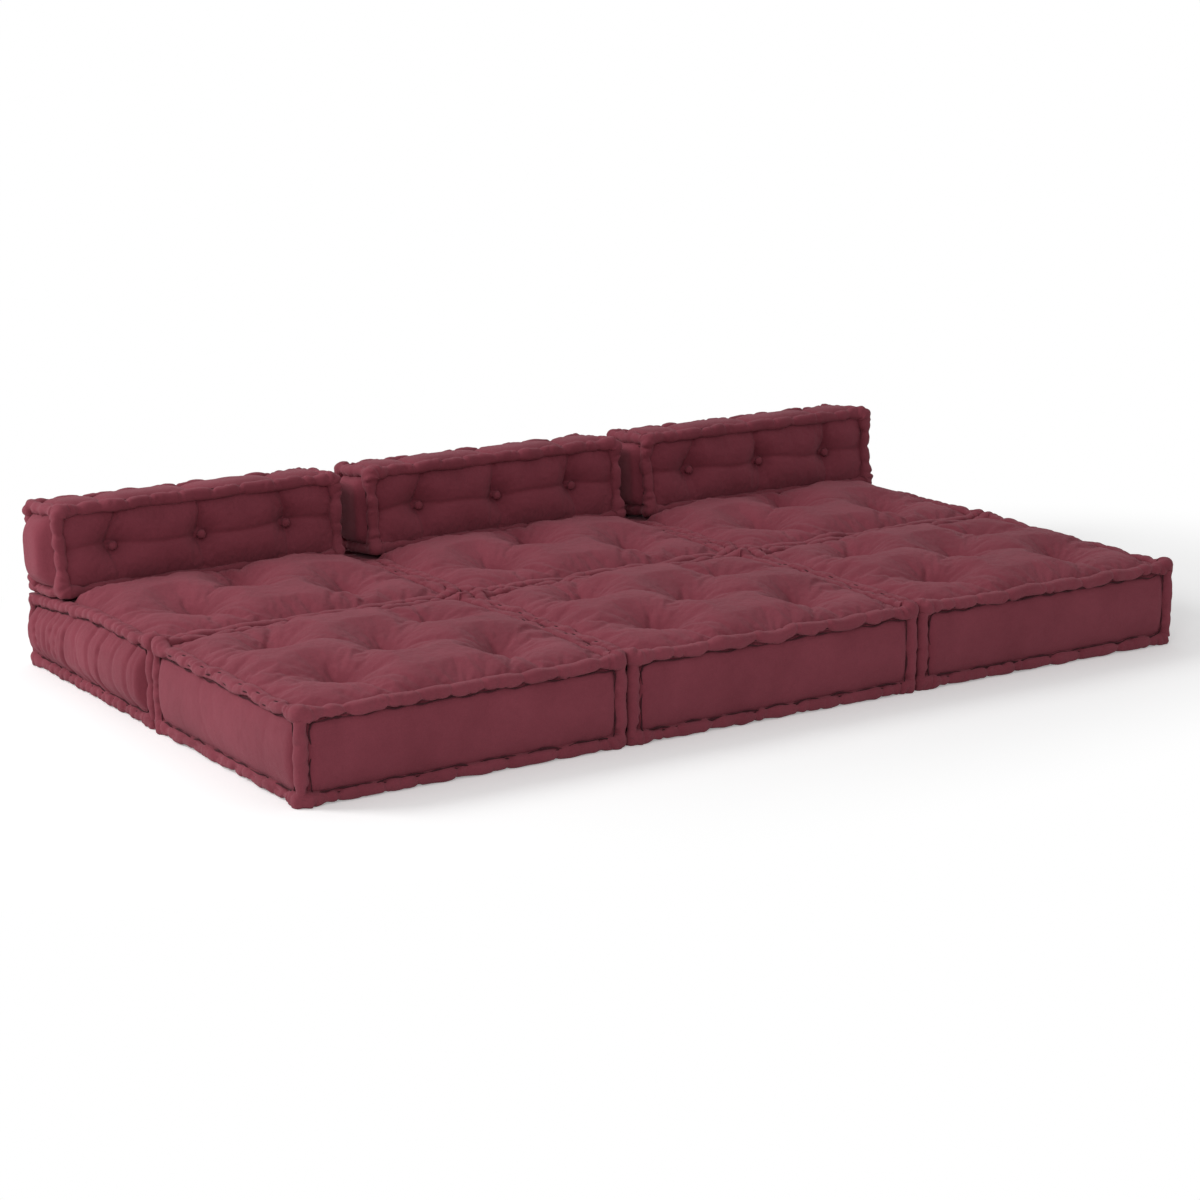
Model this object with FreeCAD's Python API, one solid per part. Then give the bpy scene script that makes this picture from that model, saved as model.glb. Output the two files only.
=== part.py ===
import FreeCAD, Part
import math
import os
from FreeCAD import Rotation, Vector

# A floor sofa bed of loose tufted cushions: two rows of seat cushions, and a row of low backrests that
# stand on the rear seats, press their backs down and lean back with them. Each cushion is a cover of sewn
# panels over a filling, with stuffed rolled edges along its seams and ties that draw its two faces together.
# Frame: +X along the front, +Y to the back, +Z up, origin on the floor under the middle of the set.

# Driving dimensions, in millimetres and degrees
seat_width = 700.0
seat_depth = 600.0
seat_height = 180.0
backrest_width = 660.0
backrest_height = 195.0
backrest_thickness = 160.0
backrest_lean = 5.5
cushion_gap = 0.6
column_names = ("left", "centre", "right")

# Stuffed rolled edges: round the faces, and up the four corners
roll_diameter = 24.0
corner_roll_diameter = 28.0
corner_roll_swell = 1.5
roll_inner_bend = 0.5

# Cover cloth, and the room between pieces that lie on each other
cloth_thickness = 2.0
skin_clearance = 0.6
seam_clearance = 0.4

# Side panels: drawn in behind the rolls, swelling between them
seam_inset = 10.0
side_swell = 8.0
end_swell = 2.0

# Seat tufting: four ties round one in the middle
seat_crown = 26.0
seat_tuft_x = 170.0
seat_tuft_y = 130.0
seat_tuft_depth = 32.0
seat_tuft_reach = 80.0

# Backrest tufting: a row of buttoned ties, with a crease up and along through each
back_crown = 22.0
back_tuft_x = 198.0
back_tuft_depth = 14.0
back_tuft_reach = 55.0
back_crease_depth = 9.0
back_crease_reach = 30.0
back_side_pinch = 5.0

# Under a backrest the rear seat slopes down from its middle, and its crown is pressed flat
slope_bend = 1500.0
press_run = 60.0
press_hold = 0.78
press_power = 8

# Ties, buttons and the hollows that the ties draw into a flat underside
tie_diameter = 3.0
tie_clearance = 0.4
stud_lift = 0.9
knot_diameter = 9.0
knot_height = 4.5
button_diameter = 20.0
button_dome = 4.5
button_cone = 7.0
hollow_diameter = 70.0
hollow_height = 18.0

# The filling's side blocks run this far into its core
block_lap = 2.0

# How squarely the crown falls to the face's edges
crown_power = 3

roll_radius = roll_diameter / 2
corner_radius = corner_roll_diameter / 2 + corner_roll_swell
lean = math.radians(backrest_lean)


class Cushion:
    """One cushion lying with its face up, centred on X and Y, with its underside at Z 0."""

    def __init__(self, width, depth, height, tufts):
        self.width = width
        self.depth = depth
        self.height = height
        self.tufts = tufts
        rim = roll_diameter + seam_clearance
        self.face_x = width / 2 - rim
        self.face_y = depth / 2 - rim
        self.crease_depth = 0.0
        self.side_pinch = 0.0
        self.press_end = None
        self.flat_base = True

    def drop(self, y):
        """How far the upper rolled edge lies below its full height: level, a gentle bend, then a slope."""
        if self.press_end is None:
            return 0.0
        along = y + slope_bend * math.tan(lean / 2)
        if along <= 0:
            return 0.0
        if along < slope_bend * math.sin(lean):
            return slope_bend - math.sqrt(slope_bend**2 - along**2)
        return y * math.tan(lean)

    def top(self, y):
        """Height of the upper rolled edge's top."""
        return self.height - self.drop(y)

    def pressed(self, y):
        """How flat the crown is pressed: 0 in front, 1 under a backrest."""
        if self.press_end is None:
            return 0.0
        along = min(1.0, max(0.0, (y - self.press_end) / press_run + 1))
        return along * along * (3 - 2 * along)

    def face(self, x, y):
        """Height of the face panel's outer side."""
        pressed = self.pressed(y)
        power = crown_power + (press_power - crown_power) * pressed
        fullness = (1 - abs(x / self.face_x) ** power) * (1 - abs(y / self.face_y) ** power)
        rise = self.crown * (1 - pressed) + (roll_radius + seam_clearance) * pressed
        for tuft_x, tuft_y in self.tufts:
            distance = math.hypot(x - tuft_x, y - tuft_y) / self.tuft_reach
            rise -= (1 - press_hold * pressed) * self.tuft_depth * math.exp(-(distance**2))
            rise -= self.crease_depth * math.exp(-(((x - tuft_x) / back_crease_reach) ** 2))
        rise -= self.crease_depth * math.exp(-((y / back_crease_reach) ** 2))
        return self.top(y) - roll_radius + fullness * rise

    def base(self, x, y):
        """Height of the underside panel's outer side."""
        return 0.0 if self.flat_base else self.height - self.face(x, y)

    def columns(self):
        """Places across the width where the face is drawn in, with its two edges."""
        return [-self.face_x] + sorted({x for x, _ in self.tufts}) + [self.face_x]

    def rows(self):
        """Section places from front to back: the tie rows and the two edges, with the middles between."""
        return with_middles([-self.face_y] + sorted({y for _, y in self.tufts}) + [self.face_y])


def with_middles(marks):
    return sorted(marks + [(a + b) / 2 for a, b in zip(marks, marks[1:])])


def line(start, end):
    return Part.LineSegment(start, end).toShape()


def curve(start, middle, end):
    """An arc through three points, or a line where they are in line."""
    span = end - start
    if (middle - start).cross(span).Length < 1e-3 * span.Length:
        return line(start, end)
    return Part.Arc(start, middle, end).toShape()


def polygon(corners):
    return [line(a, b) for a, b in zip(corners, corners[1:] + corners[:1])]


def loft(wires):
    return Part.makeLoft(wires, True, False)


def bore(place, diameter, low, high):
    return Part.makeCylinder(diameter / 2, high - low, Vector(place[0], place[1], low))


def revolve(profile, place):
    """A solid of revolution about a vertical line at place, from edges in the XZ plane."""
    solid = Part.Face(Part.Wire(profile)).revolve(Vector(0, 0, 0), Vector(0, 0, 1), 360)
    solid.translate(Vector(place[0], place[1], 0))
    return solid


def mirrored(shape, height):
    return shape.mirror(Vector(0, 0, height), Vector(0, 0, 1))


def tie_holes(cushion):
    diameter = tie_diameter + 2 * tie_clearance
    return [bore(tuft, diameter, -cushion.height, 2 * cushion.height) for tuft in cushion.tufts]


def scallop(columns, y, height):
    """Arcs across the cushion at depth y, which meet where the cloth is drawn in."""
    edges = []
    for start, end in zip(columns, columns[1:]):
        places = (start, (start + end) / 2, end)
        edges.append(curve(*[Vector(x, y, height(x, y)) for x in places]))
    return edges


def tufted_block(cushion, upper, lower):
    """A solid between two tufted surfaces, over the whole face."""
    columns = cushion.columns()
    first = columns[0]
    last = columns[-1]
    wires = []
    for y in cushion.rows():
        edges = scallop(columns, y, upper)
        edges.append(line(Vector(last, y, upper(last, y)), Vector(last, y, lower(last, y))))
        edges += scallop(columns[::-1], y, lower)
        edges.append(line(Vector(first, y, lower(first, y)), Vector(first, y, upper(first, y))))
        wires.append(Part.Wire(edges))
    return loft(wires)


def face_panel(cushion):
    """The tufted face cloth, inside the upper rolled edge."""
    panel = tufted_block(cushion, cushion.face, lambda x, y: cushion.face(x, y) - cloth_thickness)
    return panel.cut(Part.makeCompound(tie_holes(cushion)))


def base_panel(cushion):
    """The underside cloth: flat on the floor with a hollow at each tie, or tufted like the face."""
    if not cushion.flat_base:
        return mirrored(face_panel(cushion), cushion.height / 2)
    corner = Vector(-cushion.face_x, -cushion.face_y, 0)
    panel = Part.makeBox(2 * cushion.face_x, 2 * cushion.face_y, cloth_thickness, corner)
    mouths = [bore(tuft, hollow_diameter, 0, cloth_thickness) for tuft in cushion.tufts]
    hollows = [hollow_cloth(tuft) for tuft in cushion.tufts]
    return panel.cut(Part.makeCompound(mouths)).fuse(hollows)


def hollow_cloth(place):
    """The cloth of one underside hollow, open at its apex for the tie."""
    rim = hollow_diameter / 2
    eye = tie_diameter / 2 + tie_clearance
    corners = [(rim, 0), (rim, cloth_thickness), (eye, hollow_height + cloth_thickness), (eye, hollow_height)]
    return revolve(polygon([Vector(x, 0, z) for x, z in corners]), place)


def side_slabs(cushion, room, outer, inner, inner_swells):
    """A slab behind each of the four sides, between two insets, with room left to the rolls round it."""
    front = (Vector(0, -1, 0), Vector(1, 0, 0), cushion.depth / 2, cushion.width / 2)
    right = (Vector(1, 0, 0), Vector(0, 1, 0), cushion.width / 2, cushion.depth / 2)
    slabs = []
    for outward, sideways, reach, span in (front, right):
        for sign in (1, -1):
            wires = slab_sections(cushion, outward * sign, sideways * sign, reach, span - room, room,
                                  (outer, inner), (1, inner_swells))
            slabs.append(loft(wires))
    return slabs


def slab_sections(cushion, outward, sideways, reach, span, room, insets, swells):
    """Sections along one side: drawn in at the seams and the ends, and pinched in line with a row of ties."""
    half = span - 2 * corner_radius
    low = roll_diameter + room
    pinches = sorted({x for x, _ in cushion.tufts}) if cushion.side_pinch and sideways.x else []
    wires = []
    for along in with_middles([-half] + (pinches or [0.0]) + [half]):
        high = cushion.top((outward * reach + sideways * along).y) - low
        swell = end_swell + (side_swell - end_swell) * (1 - (along / half) ** 2)
        if along in pinches:
            swell -= cushion.side_pinch
        skins = []
        for inset, share in zip(insets, swells):
            foot = outward * (reach - inset) + sideways * along + Vector(0, 0, low)
            rise = Vector(0, 0, high - low)
            skins.append((foot, foot + rise / 2 + outward * swell * share, foot + rise))
        outer, inner = skins
        edges = [curve(*outer), line(outer[2], inner[2]), curve(*inner[::-1]), line(inner[0], outer[0])]
        wires.append(Part.Wire(edges))
    return wires


def side_panels(cushion):
    """The four side cloths, each between two corner rolls and between the upper and lower rolls."""
    slabs = side_slabs(cushion, seam_clearance, seam_inset, seam_inset + cloth_thickness, 1)
    return Part.makeCompound(slabs)


def filling(cushion):
    """The stuffing: a block under the face, with a swelling block behind each side cloth."""
    gap = cloth_thickness + skin_clearance
    core = tufted_block(
        cushion, lambda x, y: cushion.face(x, y) - gap, lambda x, y: cushion.base(x, y) + gap
    )
    rim = roll_diameter + seam_clearance
    blocks = side_slabs(cushion, skin_clearance, seam_inset + gap, rim + block_lap, 0)
    cuts = tie_holes(cushion)
    for place in corner_places(cushion):
        cuts.append(bore(place, 2 * (corner_radius + skin_clearance), 0, cushion.height))
    if cushion.flat_base:
        cuts += [hollow_room(tuft) for tuft in cushion.tufts]
    return core.fuse(blocks).cut(Part.makeCompound(cuts))


def hollow_room(place):
    """The room that one underside hollow takes from the filling."""
    rim = hollow_diameter / 2 + skin_clearance
    eye = tie_diameter / 2 + tie_clearance + skin_clearance
    rise = hollow_height + skin_clearance
    return Part.makeCone(rim, eye, rise, Vector(place[0], place[1], cloth_thickness))


def rounded_loop(points, radii):
    """A closed path of straight runs joined by a tangent arc at each point."""
    arcs = []
    for i, point in enumerate(points):
        before = (points[i - 1] - point).normalize()
        after = (points[(i + 1) % len(points)] - point).normalize()
        half = before.getAngle(after) / 2
        reach = radii[i] / math.tan(half)
        middle = (before + after).normalize() * (radii[i] / math.sin(half) - radii[i])
        arcs.append((point + before * reach, point + middle, point + after * reach))
    edges = []
    for i, arc in enumerate(arcs):
        following = arcs[(i + 1) % len(arcs)]
        edges.append(line(arc[2], following[0]))
        edges.append(Part.Arc(*following).toShape())
    return Part.Wire(edges)


def roll(points, radii):
    """A stuffed roll round a closed path."""
    path = rounded_loop(points, radii)
    start = path.Edges[0]
    circle = Part.makeCircle(roll_radius, start.Vertexes[0].Point, start.tangentAt(start.FirstParameter))
    return path.makePipeShell([Part.Wire(circle)], True, False)


def rolled_edges(cushion):
    """The lower and upper rolls and the four corner rolls."""
    x = cushion.width / 2 - roll_radius
    y = cushion.depth / 2 - roll_radius
    corner_bend = roll_radius + roll_inner_bend
    front = [Vector(-x, -y, 0), Vector(x, -y, 0)]
    back = [Vector(x, y, 0), Vector(-x, y, 0)]
    plan = front + back
    radii = [corner_bend] * 4
    rolls = [roll([point + Vector(0, 0, roll_radius) for point in plan], radii)]
    drops = [cushion.drop(point.y) for point in plan]
    if cushion.press_end is not None:
        plan = front + [Vector(x, 0, 0)] + back + [Vector(-x, 0, 0)]
        radii = [corner_bend] * 2 + [slope_bend] + [corner_bend] * 2 + [slope_bend]
        drops = [max(0.0, point.y) * math.tan(lean) for point in plan]
    level = cushion.height - roll_radius
    rolls.append(roll([point + Vector(0, 0, level - drop) for point, drop in zip(plan, drops)], radii))
    rolls += [corner_roll(cushion, place) for place in corner_places(cushion)]
    return Part.makeCompound(rolls)


def corner_places(cushion):
    x = cushion.width / 2 - corner_radius
    y = cushion.depth / 2 - corner_radius
    return [(-x, -y), (x, -y), (x, y), (-x, y)]


def corner_roll(cushion, place):
    """An upright roll that swells between the lower and upper rolls."""
    low = roll_diameter + seam_clearance
    high = min(cushion.top(place[1] + side) for side in (-corner_radius, corner_radius)) - low
    radius = corner_roll_diameter / 2
    foot = Vector(radius, 0, low)
    waist = Vector(corner_radius, 0, (low + high) / 2)
    head = Vector(radius, 0, high)
    floor = Vector(0, 0, low)
    crest = Vector(0, 0, high)
    profile = [line(floor, foot), curve(foot, waist, head), line(head, crest), line(crest, floor)]
    return revolve(profile, place)


def stud(place, level, diameter, cone, dome):
    """A knot or button: a cone that sits in the drawn cloth, under a low dome."""
    radius = diameter / 2
    ball = (radius**2 + dome**2) / (2 * dome)
    half_turn = math.asin(radius / ball) / 2
    centre = Vector(0, 0, level)
    tip = Vector(tie_diameter / 2, 0, level)
    rim = Vector(radius, 0, level + cone)
    crest = Vector(0, 0, level + cone + dome)
    shoulder = crest + Vector(ball * math.sin(half_turn), 0, ball * (math.cos(half_turn) - 1))
    profile = [line(centre, tip), line(tip, rim), curve(rim, shoulder, crest), line(crest, centre)]
    return revolve(profile, place)


def seat_ties(cushion):
    """A thread through each tuft, with a knot on the face and one in the hollow below."""
    ties = []
    for tuft in cushion.tufts:
        upper = cushion.face(*tuft) + stud_lift
        lower = hollow_height - stud_lift
        knot = stud(tuft, upper, knot_diameter, knot_height / 2, knot_height / 2)
        anchor = mirrored(stud(tuft, lower, knot_diameter, knot_height / 2, knot_height / 2), lower)
        ties.append(bore(tuft, tie_diameter, lower, upper).fuse([knot, anchor]))
    return Part.makeCompound(ties)


def back_ties(cushion):
    """The threads that run through the backrest from button to button."""
    ties = []
    for tuft in cushion.tufts:
        level = cushion.face(*tuft) + stud_lift
        ties.append(bore(tuft, tie_diameter, cushion.height - level, level))
    return Part.makeCompound(ties)


def buttons(cushion):
    """A covered button on each end of each thread."""
    studs = []
    for tuft in cushion.tufts:
        level = cushion.face(*tuft) + stud_lift
        front = stud(tuft, level, button_diameter, button_cone, button_dome)
        studs += [front, mirrored(front, cushion.height / 2)]
    return Part.makeCompound(studs)


def seat():
    tufts = [(x, y) for x in (-seat_tuft_x, seat_tuft_x) for y in (-seat_tuft_y, seat_tuft_y)]
    cushion = Cushion(seat_width, seat_depth, seat_height, tufts + [(0.0, 0.0)])
    cushion.crown = seat_crown
    cushion.tuft_depth = seat_tuft_depth
    cushion.tuft_reach = seat_tuft_reach
    return cushion


def pressed_seat():
    """A seat that carries a backrest, with its crown pressed flat from the backrest's front foot on."""
    cushion = seat()
    foot = backrest_thickness * math.cos(lean) + backrest_height * math.sin(lean)
    cushion.press_end = seat_depth / 2 - foot
    return cushion


def backrest():
    """A backrest, lying on its back."""
    tufts = [(x, 0.0) for x in (-back_tuft_x, 0.0, back_tuft_x)]
    cushion = Cushion(backrest_width, backrest_height, backrest_thickness, tufts)
    cushion.crown = back_crown
    cushion.tuft_depth = back_tuft_depth
    cushion.tuft_reach = back_tuft_reach
    cushion.crease_depth = back_crease_depth
    cushion.side_pinch = back_side_pinch
    cushion.flat_base = False
    return cushion


def seat_pieces(cushion):
    return {
        "top_panel": face_panel(cushion),
        "bottom_panel": base_panel(cushion),
        "side_panels": side_panels(cushion),
        "filling": filling(cushion),
        "rolled_edges": rolled_edges(cushion),
        "tuft_ties": seat_ties(cushion),
    }


def backrest_pieces(cushion):
    return {
        "front_panel": face_panel(cushion),
        "rear_panel": base_panel(cushion),
        "side_panels": side_panels(cushion),
        "filling": filling(cushion),
        "rolled_edges": rolled_edges(cushion),
        "tuft_ties": back_ties(cushion),
        "buttons": buttons(cushion),
    }


def settle():
    """How far a backrest's lower corner rolls sink beside the tops of the seat's narrower side rolls."""
    reach = corner_radius + roll_radius + seam_clearance
    return reach - math.sqrt(reach**2 - (corner_radius - roll_radius) ** 2)


def backrest_stand(x, back):
    """Upright on the seat's slope, with the rear of its head over the seat's back."""
    turn = Rotation(Vector(1, 0, 0), 90 - backrest_lean)
    heel_y = seat_depth / 2 - backrest_height * math.sin(lean)
    foot_level = pressed_seat().top(heel_y) + seam_clearance - settle()
    heel = Vector(x, back - seat_depth / 2 + heel_y, foot_level)
    return FreeCAD.Placement(heel - turn.multVec(Vector(0, -backrest_height / 2, 0)), turn)


def place(pieces, name, placement):
    """Writes a cushion's pieces where it stands, one file for each."""
    for piece, shape in pieces.items():
        moved = shape.copy()
        moved.Placement = placement.multiply(moved.Placement)
        moved.exportStep(f"parts/{name}_{piece}.step")


def main():
    os.makedirs("parts", exist_ok=True)
    front_seat = seat_pieces(seat())
    rear_seat = seat_pieces(pressed_seat())
    back_cushion = backrest_pieces(backrest())
    row = (seat_depth + cushion_gap) / 2
    back = row + seat_depth / 2
    middle = (len(column_names) - 1) / 2
    # The backrests stand spread out, so that the outer two end flush with the seats
    spread = (seat_width - backrest_width) / 2
    for i, column in enumerate(column_names):
        x = (i - middle) * (seat_width + cushion_gap)
        place(front_seat, f"front_{column}_seat", FreeCAD.Placement(Vector(x, -row, 0), Rotation()))
        place(rear_seat, f"rear_{column}_seat", FreeCAD.Placement(Vector(x, row, 0), Rotation()))
        place(back_cushion, f"{column}_backrest", backrest_stand(x + (i - middle) * spread, back))


main()
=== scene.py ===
import math

import bpy
import numpy as np
from mathutils import Matrix, Vector


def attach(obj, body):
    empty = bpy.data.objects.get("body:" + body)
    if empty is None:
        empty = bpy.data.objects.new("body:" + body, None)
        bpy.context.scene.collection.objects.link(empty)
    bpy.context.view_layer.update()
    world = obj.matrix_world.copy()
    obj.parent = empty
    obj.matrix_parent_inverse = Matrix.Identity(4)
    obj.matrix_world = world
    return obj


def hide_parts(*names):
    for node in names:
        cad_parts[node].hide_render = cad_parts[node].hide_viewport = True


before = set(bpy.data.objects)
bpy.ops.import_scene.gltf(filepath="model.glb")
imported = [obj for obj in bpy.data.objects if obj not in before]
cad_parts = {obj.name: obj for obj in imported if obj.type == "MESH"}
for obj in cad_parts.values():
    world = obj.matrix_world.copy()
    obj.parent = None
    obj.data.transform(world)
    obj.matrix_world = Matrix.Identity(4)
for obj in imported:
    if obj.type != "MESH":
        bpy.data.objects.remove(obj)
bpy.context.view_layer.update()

# Sizes of the CAD part, in metres
WIDTH, DEPTH, HEIGHT = 0.700, 0.600, 0.180
BACK_WIDTH, BACK_HEIGHT, BACK_THICK = 0.660, 0.195, 0.160
LEAN = math.radians(5.5)
SLOPE_BEND = 1.5
GAP = 0.0006
ROLL_RADIUS = 0.012
CORNER_ROLL_RADIUS = 0.0155
CLEARANCE = 0.0004
COLUMNS = ("left", "centre", "right")
SEAT_TUFTS = [(-0.17, -0.13), (0.17, -0.13), (-0.17, 0.13), (0.17, 0.13), (0.0, 0.0)]
BACK_TUFTS = [(-0.198, 0.0), (0.0, 0.0), (0.198, 0.0)]

# Places that follow: a backrest's heel and foot on its seat, the rows, the outer backrests' shift and how far
# a backrest settles between the rolls
HEEL_Y = DEPTH / 2 - BACK_HEIGHT * math.sin(LEAN)
FOOT_Y = HEEL_Y - BACK_THICK * math.cos(LEAN)
ROW = (DEPTH + GAP) / 2
SPREAD = (WIDTH - BACK_WIDTH) / 2
SETTLE_REACH = CORNER_ROLL_RADIUS + ROLL_RADIUS + CLEARANCE
SETTLE = SETTLE_REACH - math.sqrt(SETTLE_REACH**2 - (CORNER_ROLL_RADIUS - ROLL_RADIUS) ** 2)

# Covers: cell of the grid, seam places, what is pinned, and the cloth simulation
SEAT_CELL, BACK_CELL = 0.0058, 0.0047
SEAM_INSET = 0.0235
WALL_INSET = 0.0125
SEAM_DROP = 0.0255
UNDER_Z = 0.004
CORNER_PUSH = 0.004
SIDE_ROUND = 0.024
PRESS_RUN = 0.018
PRESS_SINK, PRESS_EDGE = 0.0024, 0.009
TIE_HOLD = 0.006
CORNER_HOLD = 0.007
JITTER = 0.0005
SIM_FRAMES = 22
SIM_CAP = 0.028
WALL_MOVE = 0.2
FAR = 9.0

# How far cloth may go past a CAD side: a free side, a swollen side, a backrest's full end, an end near
# another backrest, and a side that meets a neighbour. Points are eased back over the last stretch.
FREE, WIDE, FULL, NEAR, MET = 0.007, 0.020, 0.026, 0.012, 0.00026
EASE, MET_EASE = 0.006, 0.0018

# Rolls: half sizes, rings along and points round, and the least and greatest swelling
ROLL_WIDE, ROLL_TALL = 0.0136, 0.0126
ROLL_BEND = ROLL_WIDE + 0.0006
RING_STEP = 0.0032
BEND_RINGS = 10
AROUND = 24
TURN = np.linspace(0, 2 * np.pi, AROUND, endpoint=False)
LEAST_SIZE, MOST_SIZE = 0.45, 1.60
FLOOR_GAP = 0.0002
FOOT_GAP, FOOT_RUN = 0.0002, 0.012

# Along a roll: random dents, the ears and necks at its corners, and where its sewing starts
DENT_PITCH = 0.017
EAR_REACH = 0.019
EAR_WRINKLES = (-0.024, -0.010, 0.004, 0.017)
NECK_PLACE, NECK_REACH, NECK_DEPTH = 0.044, 0.009, 0.28
SEWN_FROM = 0.055

# Upright rolls at the corners
UPRIGHT_RADIUS = 0.0142
UPRIGHT_INSET = UPRIGHT_RADIUS + 0.0008
UPRIGHT_END = 0.017
UPRIGHT_STEP = 0.004
UPRIGHT_NECK, UPRIGHT_NECK_REACH = 0.015, 0.011
UPRIGHT_WRINKLES = 16

FRONT, RIGHT, BACK, LEFT = range(4)


def waves(values, seed, count, shortest, longest):
    """A smooth seeded wander of about unit size along values, in metres."""
    rng = np.random.default_rng(seed)
    total = np.zeros_like(values)
    for _ in range(count):
        length = rng.uniform(shortest, longest)
        total += np.sin(2 * np.pi * values / length + rng.uniform(0, 2 * np.pi))
    return total / math.sqrt(count / 2)


def bump(values, width):
    return np.exp(-((values / width) ** 2))


def smooth_step(values):
    held = np.clip(values, 0, 1)
    return held * held * (3 - 2 * held)


def valleys(phase, power):
    """Sharp valleys of depth 1, one for each half turn of the phase."""
    return (1 - np.abs(np.sin(phase))) ** power


class Form:
    """One kind of cushion, lying face up, centred on X and Y, underside at Z 0."""

    def __init__(self, size, tufts, sloped=False, closed=False, **shape):
        self.width, self.depth, self.height = size
        self.tufts = tufts
        self.sloped = sloped
        self.closed = closed
        self.inner_x = self.width / 2 - SEAM_INSET
        self.inner_y = self.depth / 2 - SEAM_INSET
        for name, value in shape.items():
            setattr(self, name, value)

    def top(self, y):
        """Height of the upper rolled edge's top."""
        y = np.asarray(y, float)
        if not self.sloped:
            return np.full_like(y, self.height)
        along = y + SLOPE_BEND * math.tan(LEAN / 2)
        bend = SLOPE_BEND - np.sqrt(np.maximum(SLOPE_BEND**2 - along**2, 0))
        sloping = np.where(along < SLOPE_BEND * math.sin(LEAN), bend, y * math.tan(LEAN))
        return self.height - np.where(along <= 0, 0, sloping)


# The cover: a grid over the face and the walls, pinned at its seams and tufts and swollen as cloth


def box_grid(nx, ny, nz, closed):
    """Grid places on a box's surface and the quads between them, with or without the underside."""
    keys = {}

    def at(i, j, k):
        return keys.setdefault((i, j, k), len(keys))

    quads = []
    for i in range(nx):
        for j in range(ny):
            quads.append((at(i, j, nz), at(i + 1, j, nz), at(i + 1, j + 1, nz), at(i, j + 1, nz)))
            if closed:
                quads.append((at(i, j, 0), at(i, j + 1, 0), at(i + 1, j + 1, 0), at(i + 1, j, 0)))
    for k in range(nz):
        for i in range(nx):
            quads.append((at(i, 0, k), at(i + 1, 0, k), at(i + 1, 0, k + 1), at(i, 0, k + 1)))
            quads.append((at(i + 1, ny, k), at(i, ny, k), at(i, ny, k + 1), at(i + 1, ny, k + 1)))
        for j in range(ny):
            quads.append((at(0, j + 1, k), at(0, j, k), at(0, j, k + 1), at(0, j + 1, k + 1)))
            quads.append((at(nx, j, k), at(nx, j + 1, k), at(nx, j + 1, k + 1), at(nx, j, k + 1)))
    return np.array(list(keys)), quads


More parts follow.
